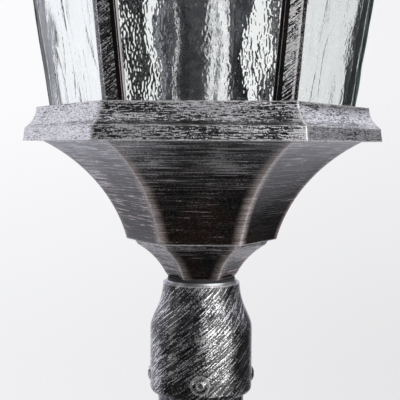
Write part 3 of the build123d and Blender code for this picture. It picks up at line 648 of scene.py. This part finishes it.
# Painted light on the left flank and painted shade on the right one
roof_finish.shade_flanks_and_rub_ridges(left=0.03, right=0.0)
paint(roof_finish.dry(), "roof", "roof_cap", "top_ring")

# Turned pieces and the collar's screws
turned_finish = Brushed(
    "brushed_turned",
    spiral_strokes,
    cover=-0.045,
    haze=0.4,
    fleck=TURNED_FLECK,
    drag_share=0.35,
)
paint(turned_finish.dry(), "collar", "collar_screws", "post_tube", "foot", "finial")

# Left corner bars: the shaded copy of the bar finish, with less silver, painted shade inside and a painted
# highlight on the lip
shaded_bars = Brushed(
    "shaded_bars",
    slanted_strokes,
    cover=-0.045,
    haze=0.5,
    fleck=BAR_FLECK,
    edge=BAR_EDGE_WEAR,
)
# Painted shade on the flanges beyond the silver's reach
shaded_bars.shade_bar_flanges(BAR_REACH)
shaded_bars.shade_inside_and_highlight_lip(*BAR_LIP_HIGHLIGHT)
paint(shaded_bars.dry(), "bar_front_left", "bar_back_left")

# Right corner bars: the lit copy of the bar finish, with more silver and a painted highlight along the
# ridge
lit_bars = Brushed("lit_bars", slanted_strokes, cover=0.0, haze=0.8, fleck=BAR_FLECK, edge=BAR_EDGE_WEAR)
# Painted shade on the flanges beyond the silver's reach
lit_bars.shade_bar_flanges(BAR_REACH)
# Painted highlight along the ridges of the lit bars
lit_bars.highlight_ridge(BAR_RIDGE)
paint(lit_bars.dry(), "bar_front_right", "bar_back_right")


def plain_metal(name, light, dark, roughness, scratch=0.5, rim=WHITE):
    """Bare metal with fine scratches and cloudy patches."""
    finish = Finish(name)
    clouds = finish.grain(METAL_CLOUD, *CLOUDY)
    lines = finish.noise(finish.scaled(SCRATCH_LENGTH, SCRATCH_WIDTH))
    scratched = finish.add(clouds, finish.times(lines, scratch))
    finish.set(
        Base_Color=finish.mix(finish.step(clouds, *CLOUDS), dark, light),
        Metallic=1.0,
        Specular_Tint=rim,
        Roughness=finish.step(scratched, *SCRATCHED, roughness, roughness + METAL_DULLING),
        Normal=finish.bump(lines, SCRATCH_DEPTH, scratch),
    )
    return finish.material


def moulded(name, light, dark, roughness, pore=FINE_PORE, depth=FINE_PORE_DEPTH):
    """Moulded or glazed surface with a faint skin texture and uneven gloss."""
    finish = Finish(name)
    clouds = finish.grain(MOULDED_CLOUD, *CLOUDY)
    skin = finish.grain(pore, *PORED)
    finish.set(
        Base_Color=finish.mix(finish.step(clouds, *CLOUDS), dark, light),
        Roughness=finish.step(clouds, *MOULDED_GLOSS, roughness, roughness + MOULDED_DULLING),
        Normal=finish.bump(skin, depth, PORE_BUMP),
    )
    return finish.material


# Foot screws
dark_screws = plain_metal(
    "dark_screws",
    light=colour(0.16, 0.15, 0.15),
    dark=colour(0.05, 0.045, 0.045),
    roughness=0.28,
)
paint(dark_screws, "foot_screws")

# Steel fixings of the lantern
zinc_steel = plain_metal(
    "zinc_steel",
    light=colour(0.62, 0.63, 0.65),
    dark=colour(0.46, 0.47, 0.48),
    roughness=0.3,
)
paint(zinc_steel, "bar_screws", "bridge", "bridge_screws", "roof_stud", "stud_nuts")
paint(zinc_steel, "nipple", "nipple_nuts", "neck_washer")

# Lamp holder's sleeve and contact
brass = plain_metal(
    "brass",
    light=colour(0.72, 0.52, 0.24),
    dark=colour(0.50, 0.34, 0.15),
    roughness=0.24,
)
paint(brass, "holder_sleeve", "holder_contact")

# Bulb's cap and the terminal screws
bulb_metal = plain_metal(
    "bulb_metal",
    light=colour(0.74, 0.74, 0.74),
    dark=colour(0.58, 0.58, 0.59),
    roughness=0.26,
)
paint(bulb_metal, "bulb_cap", "bulb_tip", "terminal_screws")

# Seals under the neck and the finial
rubber = moulded(
    "rubber",
    light=colour(0.035, 0.034, 0.034),
    dark=colour(0.016, 0.016, 0.016),
    roughness=0.6,
)
paint(rubber, "neck_gasket", "finial_washer")

# Lamp holder's outside
dark_nickel = plain_metal(
    "dark_nickel",
    light=colour(0.44, 0.44, 0.445),
    dark=colour(0.36, 0.36, 0.37),
    roughness=0.15,
    scratch=0.2,
    rim=colour(0.1, 0.1, 0.1),
)
paint(dark_nickel, "holder_base", "holder_shell")

# Lamp holder's core
porcelain = moulded(
    "porcelain",
    light=colour(0.82, 0.80, 0.75),
    dark=colour(0.72, 0.70, 0.65),
    roughness=0.18,
)
paint(porcelain, "holder_core")

# Supply lead
lead_sheath = moulded(
    "lead_sheath",
    light=colour(0.05, 0.05, 0.05),
    dark=colour(0.025, 0.025, 0.025),
    roughness=0.45,
)
paint(lead_sheath, "supply_lead")

# Terminal block
terminal_plastic = moulded(
    "terminal_plastic",
    light=colour(0.80, 0.78, 0.70),
    dark=colour(0.70, 0.67, 0.58),
    roughness=0.4,
)
paint(terminal_plastic, "terminal_block")

# Bulb's envelope
opal_bulb = moulded(
    "opal_bulb",
    light=colour(0.90, 0.89, 0.86),
    dark=colour(0.84, 0.83, 0.80),
    roughness=0.16,
)
paint(opal_bulb, "bulb_envelope")


def new_object(name, data):
    """Object of a mesh, lamp or camera, placed in the scene."""
    made = bpy.data.objects.new(name, data)
    bpy.context.scene.collection.objects.link(made)
    return made


def pane_corners(name, facing):
    """Corners of a pane's slab, by height (0 low), side (0 right hand) and face (0 inner)."""
    outward = Vector((cos(facing), sin(facing), 0))
    sideways = Vector((-sin(facing), cos(facing), 0))
    points = [vertex.co for vertex in nodes[name].data.vertices]
    levels = min(point.z for point in points), max(point.z for point in points)
    corners = {}
    for height, side, face in product((0, 1), (0, 1), (0, 1)):
        turn = 1 if side else -1
        reach = 1 if face else -1
        rim = [point for point in points if abs(point.z - levels[height]) < SAME_PLACE]
        depth = max(reach * outward.dot(point) for point in rim)
        line = [point for point in rim if reach * outward.dot(point) > depth - SAME_PLACE]
        corners[height, side, face] = max(line, key=lambda point: turn * sideways.dot(point))
    return corners


def pane_place(corners, across, up, face):
    """Point on the inner (0) or outer (1) face of a pane's slab, by shares of its width and height."""
    low = corners[0, 0, face].lerp(corners[0, 1, face], across)
    high = corners[1, 0, face].lerp(corners[1, 1, face], across)
    return low.lerp(high, up)


def ripple(across, up, seed, cells):
    """Depth of the rolled pattern at a place on the glass; fewer small cells leave more long reams."""
    cell = noise.noise((across / CELL_WIDTH, up / CELL_HEIGHT, seed))
    wave = noise.noise((across / WAVE_WIDTH, up / WAVE_HEIGHT, seed + WAVE_SEED))
    drift = noise.noise((across / REAM_WIDTH, up / REAM_HEIGHT, seed + REAM_SEED))
    ream = (1 - abs(drift)) ** REAM_SHARPNESS
    small = cells * CELL_DEPTH * (1 + cell) / 2
    broad = (1 + cells) / 2 * WAVE_DEPTH * (1 + wave) / 2
    return small + broad + (1 - cells) * REAM_DEPTH * ream


def rolled_points(corners, facing, columns, rows, seed, cells):
    """Grid of points on a pane's outer face, pressed inwards by the rolled pattern."""
    sideways = Vector((-sin(facing), cos(facing), 0))
    climb = (corners[1, 0, 1] + corners[1, 1, 1] - corners[0, 0, 1] - corners[0, 1, 1]).normalized()
    inward = climb.cross(sideways).normalized()
    points = []
    for row, column in product(range(rows + 1), range(columns + 1)):
        point = pane_place(corners, column / columns, row / rows, 1)
        depth = ripple(point.dot(sideways), point.dot(climb), seed, cells)
        points.append(point + inward * depth)
    return points


def grid_faces(columns, rows):
    """Faces of a grid of points, row by row."""
    faces = []
    for row, column in product(range(rows), range(columns)):
        start = row * (columns + 1) + column
        faces.append((start, start + 1, start + columns + 2, start + columns + 1))
    return faces


def grid_rim(columns, rows):
    """Columns and rows of the points round the rim of a grid."""
    rim = [(column, 0) for column in range(columns)]
    rim += [(columns, row) for row in range(rows)]
    rim += [(column, rows) for column in range(columns, 0, -1)]
    rim += [(0, row) for row in range(rows, 0, -1)]
    return rim


def rolled_mesh(name, corners, facing, seed, cells):
    """Closed mesh of a pane: rolled outer face, edges in the second material, flat inner face."""
    columns = round((corners[1, 1, 1] - corners[1, 0, 1]).length / GRID_ACROSS)
    rows = round((corners[1, 0, 1] - corners[0, 0, 1]).length / GRID_UP)
    points = rolled_points(corners, facing, columns, rows, seed, cells)
    faces = grid_faces(columns, rows)
    rolled = len(faces)
    rim = grid_rim(columns, rows)
    outer = [row * (columns + 1) + column for column, row in rim]
    inner = range(len(points), len(points) + len(rim))
    points += [pane_place(corners, column / columns, row / rows, 0) for column, row in rim]
    for index in range(len(rim)):
        following = (index + 1) % len(rim)
        faces.append((outer[index], inner[index], inner[following], outer[following]))
    faces.append(tuple(reversed(inner)))
    mesh = bpy.data.meshes.new(name)
    mesh.from_pydata(points, [], faces)
    for polygon in mesh.polygons[:rolled]:
        polygon.use_smooth = True
    for polygon in mesh.polygons[rolled:-1]:
        polygon.material_index = 1
    outer_rim = set(outer)
    for edge in mesh.edges:
        edge.use_edge_sharp = outer_rim.issuperset(edge.vertices)
    return mesh


def rolled_pane(name, facing, seed, cells):
    """Pane with the rolled pattern pressed into its outer face."""
    corners = pane_corners(name, facing)
    mesh = rolled_mesh(f"{name}_rolled", corners, facing, seed, cells)
    pane = new_object(f"{name}_rolled", mesh)
    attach(pane, "head")
    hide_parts(name)
    return pane


def rolled_glass(name, relief):
    """Clear glass, green where it is deep, with a fine hammered skin."""
    finish = Finish(name)
    skin = finish.noise(finish.scaled(SKIN_WIDTH, SKIN_HEIGHT), SKIN_DETAIL)
    finish.set(
        Base_Color=CLEAR_GLASS,
        Transmission_Weight=1.0,
        IOR=GLASS_IOR,
        Specular_IOR_Level=GLASS_SHINE,
        Roughness=0.0,
        Normal=finish.bump(skin, relief),
    )
    depth = finish.node("ShaderNodeVolumeAbsorption", {"Color": DEEP_GLASS, "Density": GLASS_DENSITY})
    finish.put(finish.output.inputs["Volume"], depth.outputs[0])
    return finish.material


def ground_edge():
    """Ground edge of a pane, deep green with pale streaks and small chips."""
    finish = Finish("ground_edge")
    chips = finish.grain(CHIP, *CHIPPED)
    streaks = finish.noise(finish.scaled(STREAK_WIDTH, STREAK_HEIGHT), STREAK_DETAIL)
    finish.set(
        Base_Color=finish.mix(finish.step(streaks, *STREAKS), EDGE_DARK, EDGE_PALE),
        Transmission_Weight=EDGE_CLEARNESS,
        IOR=GLASS_IOR,
        Roughness=finish.step(chips, *CHIP_GLOSS),
        Normal=finish.bump(chips, CHIP_DEPTH, CHIP_BUMP),
    )
    return finish.material


# Panes
lively_glass = rolled_glass("rolled_glass", LIVELY_SKIN)
calm_glass = rolled_glass("calm_glass", CALM_SKIN)
edge_glass = ground_edge()
for index, (pane_name, facing) in enumerate(PANE_FACINGS.items()):
    lively = facing in FRONT_AND_BACK
    cells = 1.0 if lively else SIDE_CELLS
    pane = rolled_pane(pane_name, radians(facing), GLASS_SEED + PANE_SEED * index, cells)
    pane.data.materials.append(lively_glass if lively else calm_glass)
    pane.data.materials.append(edge_glass)


def corner_seal(name, pane_name, finish):
    """Dark hollow bead of sealant up the inside of a bare glass corner, at the outer end of a side pane."""
    corners = pane_corners(pane_name, radians(PANE_FACINGS[pane_name]))
    tips = []
    for height in (0, 1):
        ends = [corners[height, side, 0] for side in (0, 1)]
        tips.append(max(ends, key=lambda point: abs(point.x)))
    low, high = tips
    outward = 1 if low.x > 0 else -1
    hollow_radius = SEAL_LEG * tan(2 * HEXAGON_HALF)
    points = []
    for level in (tray_top + SEAL_GAP, top_ring_bottom - SEAL_GAP):
        tip = abs(low.lerp(high, (level - low.z) / (high.z - low.z)).x) - 2 * SEAL_GAP
        points.append((outward * tip, 0, level))
        for step in range(SEAL_STEPS + 1):
            turn = HEXAGON_HALF * (2 * step / SEAL_STEPS - 1)
            reach = tip - 2 * SEAL_LEG + hollow_radius * cos(turn)
            points.append((outward * reach, hollow_radius * sin(turn), level))
    count = len(points) // 2
    faces = [tuple(range(count)), tuple(range(2 * count - 1, count - 1, -1))]
    for index in range(count):
        following = (index + 1) % count
        faces.append((index, index + count, following + count, following))
    mesh = bpy.data.meshes.new(name)
    mesh.from_pydata(points, [], faces)
    mesh.validate()
    mesh.materials.append(finish)
    seal = new_object(name, mesh)
    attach(seal, "head")


# Sealant
sealant = moulded(
    "sealant",
    light=colour(0.05, 0.06, 0.056),
    dark=colour(0.025, 0.03, 0.028),
    roughness=0.3,
    pore=SEAL_PORE,
    depth=SEAL_PORE_DEPTH,
)
corner_seal("corner_seal_right", "pane_front_right", sealant)
corner_seal("corner_seal_left", "pane_front_left", sealant)


def floor_finish():
    """Pale floor with a faint mottle; in reflections it carries painted shade, dark in front of the light
    and pale behind.
    """
    finish = Finish("floor")
    pale = finish.mix(finish.grain(FLOOR_MOTTLE), *FLOOR_SEEN)
    behind = finish.add(finish.y, finish.times(finish.x, BACK_LEANS_LEFT))
    shaded = finish.mix(finish.step(behind, *FLOOR_FRONT_TO_BACK), *FLOOR_REFLECTED)
    seen = finish.node("ShaderNodeLightPath").outputs["Is Camera Ray"]
    finish.set(Base_Color=finish.mix(seen, shaded, pale), Roughness=FLOOR_ROUGHNESS)
    return finish.material


# Floor disc
floor_points = []
for corner in range(FLOOR_SIDES):
    angle = corner * 2 * pi / FLOOR_SIDES
    floor_points.append((FLOOR_RADIUS * cos(angle) - FLOOR_LEFT, FLOOR_RADIUS * sin(angle) + FLOOR_BACK, 0))
floor_mesh = bpy.data.meshes.new("floor")
floor_mesh.from_pydata(floor_points, [], [tuple(range(FLOOR_SIDES))])
floor_mesh.materials.append(floor_finish())
floor = new_object("floor", floor_mesh)


def softbox(name, azimuth, elevation, distance, width, height, radiance):
    """Soft rectangular lamp that looks at the lantern; azimuth is to the right of the camera."""
    lamp = bpy.data.lights.new(name, "AREA")
    lamp.shape = "RECTANGLE"
    lamp.size = width
    lamp.size_y = height
    lamp.energy = radiance * pi * width * height
    holder = new_object(name, lamp)
    turn = radians(azimuth)
    rise = radians(elevation)
    away = Vector((sin(turn) * cos(rise), -cos(turn) * cos(rise), sin(rise)))
    holder.location = Vector((0, 0, LANTERN_HEIGHT)) + away * distance
    holder.rotation_euler = away.to_track_quat("Z", "Y").to_euler()


# Lamps
softbox("key", azimuth=42, elevation=2, distance=1.5, width=1.6, height=1.6, radiance=2.4)
softbox("strip", azimuth=-71, elevation=8, distance=1.4, width=0.14, height=1.1, radiance=3.0)
softbox("top", azimuth=0, elevation=82, distance=1.6, width=1.4, height=1.4, radiance=0.5)


def studio_world():
    """White room behind the object, darker behind the camera; pale where it is seen directly."""
    world = bpy.data.worlds.new("studio")
    world.use_nodes = True
    room = Nodes(world.node_tree)
    x, y, z = room.split(room.node("ShaderNodeTexCoord").outputs["Generated"])
    back = room.step(room.math("MULTIPLY_ADD", x, BACK_LEANS_LEFT, y), *BACK_WALL)
    above = room.times(room.step(z, *CEILING), room.step(y, *CEILING_TO_BACK))
    reflected = room.math("MINIMUM", room.add(back, above, DARKEST_WALL), 1.0)
    shade = room.add(room.step(x, *SEEN_LEFT_TO_RIGHT), room.step(z, *SEEN_LOW_TO_HIGH))
    path = room.node("ShaderNodeLightPath").outputs
    bounces = room.add(path["Glossy Depth"], path["Diffuse Depth"])
    seen = room.math("LESS_THAN", bounces, HALF_A_BOUNCE)
    direct = room.mix_value(path["Is Transmission Ray"], shade, 1.0)
    shine = world.node_tree.nodes["Background"]
    room.put(shine.inputs["Strength"], room.mix_value(seen, reflected, direct))
    room.put(shine.inputs["Color"], room.mix(seen, LIGHT_REFLECTED, LIGHT_SEEN))
    bpy.context.scene.world = world


studio_world()

# Camera at the photograph's place
camera = new_object("camera", bpy.data.cameras.new("camera"))
camera.data.lens = LENS
camera.data.sensor_width = SENSOR
camera.data.clip_start = NEAREST_SEEN
camera.location = (EYE_ASIDE, -EYE_DISTANCE, ring_bottom - EYE_BELOW_RING)
camera.rotation_euler = Euler((radians(90 - PITCH), radians(-ROLL), radians(YAW)))
bpy.context.scene.camera = camera
bpy.context.scene.view_settings.view_transform = "Standard"
